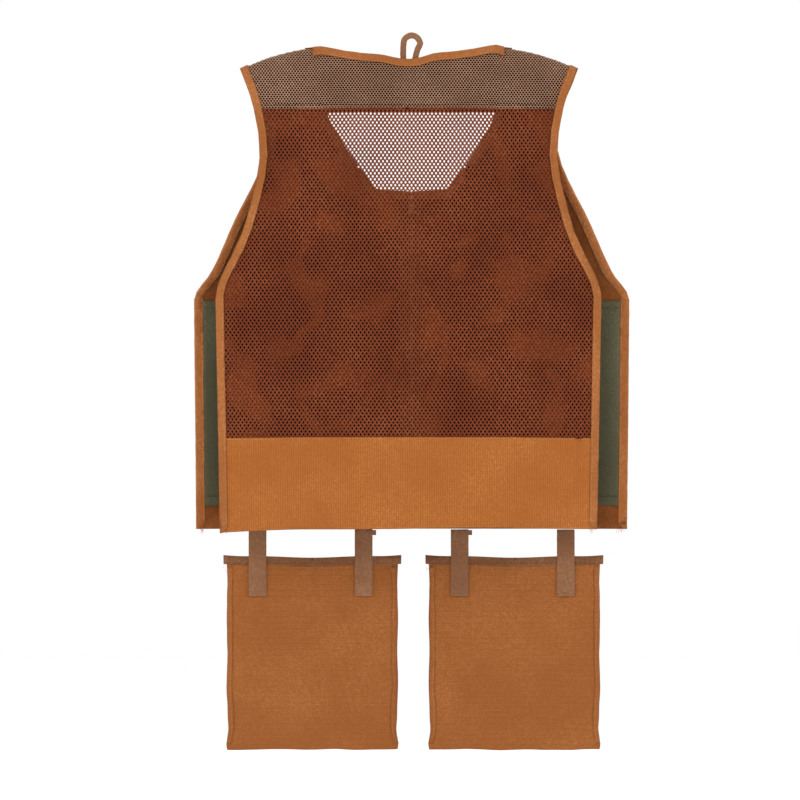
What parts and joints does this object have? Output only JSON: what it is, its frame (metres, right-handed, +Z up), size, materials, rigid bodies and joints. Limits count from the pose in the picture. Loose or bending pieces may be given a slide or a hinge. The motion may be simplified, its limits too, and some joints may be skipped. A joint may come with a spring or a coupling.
{
  "type": "fishing vest",
  "caption": "Net-backed fishing vest with canvas waistband, open sides, zipped fronts with flapped pockets, and belt pouches hanging by webbing straps under the hems.",
  "frame": {"origin": "the inner top of the hang loop, where a peg carries the vest", "axes": "+Z up, -Y towards the wearer's back, +X towards the wearer's right"},
  "size_m": [0.6108, 0.1311, 1.0025],
  "materials": {
    "yoke_mesh": "padded tan spacer net over a dark backing",
    "rust_mesh": "open rust-brown knitted net",
    "canvas": "matt cotton duck canvas",
    "binding": "folded cotton binding tape",
    "webbing": "woven brown webbing",
    "lining": "smooth olive nylon",
    "zip_tape": "woven zipper tape",
    "zip_teeth": "moulded teeth",
    "brass": "dull antique",
    "hook_tape": "hook-and-loop tape"
  },
  "bodies": {
    "shell": {"back_yoke": "yoke_mesh", "back_mesh_panel": "rust_mesh", "back_waistband": "canvas", "neck_binding_back": "binding", "hang_loop": "webbing", "zipper_bottom_box": "brass", "back_binding_right": "binding", "front_binding_right": "binding", "front_yoke_right": "yoke_mesh", "front_panel_right": "canvas", "neck_binding_front_right": "binding", "neck_binding_foot_right": "binding", "inner_pocket_right": "lining", "zipper_tape_right": "zip_tape", "zipper_teeth_right": "zip_teeth", "zipper_top_stop_right": "brass", "chest_pocket_right": "canvas", "chest_flap_seam_right": "canvas", "chest_loop_patch_right": "hook_tape", "lower_pocket_right": "canvas", "lower_flap_seam_right": "canvas", "lower_loop_patch_right": "hook_tape", "back_binding_left": "binding", "front_binding_left": "binding", "front_yoke_left": "yoke_mesh", "front_panel_left": "canvas", "neck_binding_front_left": "binding", "neck_binding_foot_left": "binding", "inner_pocket_left": "lining", "zipper_tape_left": "zip_tape", "zipper_teeth_left": "zip_teeth", "zipper_top_stop_left": "brass", "chest_pocket_left": "canvas", "chest_flap_seam_left": "canvas", "chest_loop_patch_left": "hook_tape", "lower_pocket_left": "canvas", "lower_flap_seam_left": "canvas", "lower_loop_patch_left": "hook_tape"},
    "chest_flap_right": {"chest_flap_right": "canvas", "chest_hook_patch_right": "hook_tape"},
    "lower_flap_right": {"lower_flap_right": "canvas", "lower_hook_patch_right": "hook_tape"},
    "pouch_right": {"pouch_right": "canvas", "pouch_top_binding_right": "webbing", "pouch_strap_inner_right": "webbing", "pouch_strap_outer_right": "webbing", "strap_keeper_right": "webbing"},
    "chest_flap_left": {"chest_flap_left": "canvas", "chest_hook_patch_left": "hook_tape"},
    "lower_flap_left": {"lower_flap_left": "canvas", "lower_hook_patch_left": "hook_tape"},
    "pouch_left": {"pouch_left": "canvas", "pouch_top_binding_left": "webbing", "pouch_strap_inner_left": "webbing", "pouch_strap_outer_left": "webbing", "strap_keeper_left": "webbing"},
    "zip_slider": {"zipper_slider": "brass"},
    "zip_pull": {"zipper_pull_tab": "brass"}
  },
  "joints": [
    {"name": "chest_flap_right_lift", "type": "hinge", "parent": "shell", "child": "chest_flap_right", "pos_m": [0.1265, 0.07083, -0.227], "axis": [0.9985, -0.0547, 0], "range_deg": [0, 135]},
    {"name": "chest_flap_left_lift", "type": "hinge", "parent": "shell", "child": "chest_flap_left", "pos_m": [-0.1175, 0.07083, -0.227], "axis": [0.9985, 0.0547, 0], "range_deg": [0, 135]},
    {"name": "lower_flap_right_lift", "type": "hinge", "parent": "shell", "child": "lower_flap_right", "pos_m": [0.1675, 0.07719, -0.437], "axis": [0.9966, -0.0829, 0], "range_deg": [0, 135]},
    {"name": "lower_flap_left_lift", "type": "hinge", "parent": "shell", "child": "lower_flap_left", "pos_m": [-0.1585, 0.07719, -0.437], "axis": [0.9966, 0.0829, 0], "range_deg": [0, 135]},
    {"name": "pouch_right_swing", "type": "hinge", "parent": "shell", "child": "pouch_right", "pos_m": [0.1465, 0.0526, -0.68795], "axis": [0.9985, -0.054, 0], "range_deg": [-40, 70]},
    {"name": "pouch_left_swing", "type": "hinge", "parent": "shell", "child": "pouch_left", "pos_m": [-0.1375, 0.0526, -0.68795], "axis": [0.9985, 0.054, 0], "range_deg": [-40, 70]},
    {"name": "zip_slide", "type": "slide", "parent": "shell", "child": "zip_slider", "axis": [0, 0, 1], "range_m": [-0.429, 0]},
    {"name": "zip_pull_lift", "type": "hinge", "parent": "zip_slider", "child": "zip_pull", "pos_m": [0.0045, 0.05941, -0.2371], "axis": [1, 0, 0], "range_deg": [0, 160]}
  ]
}
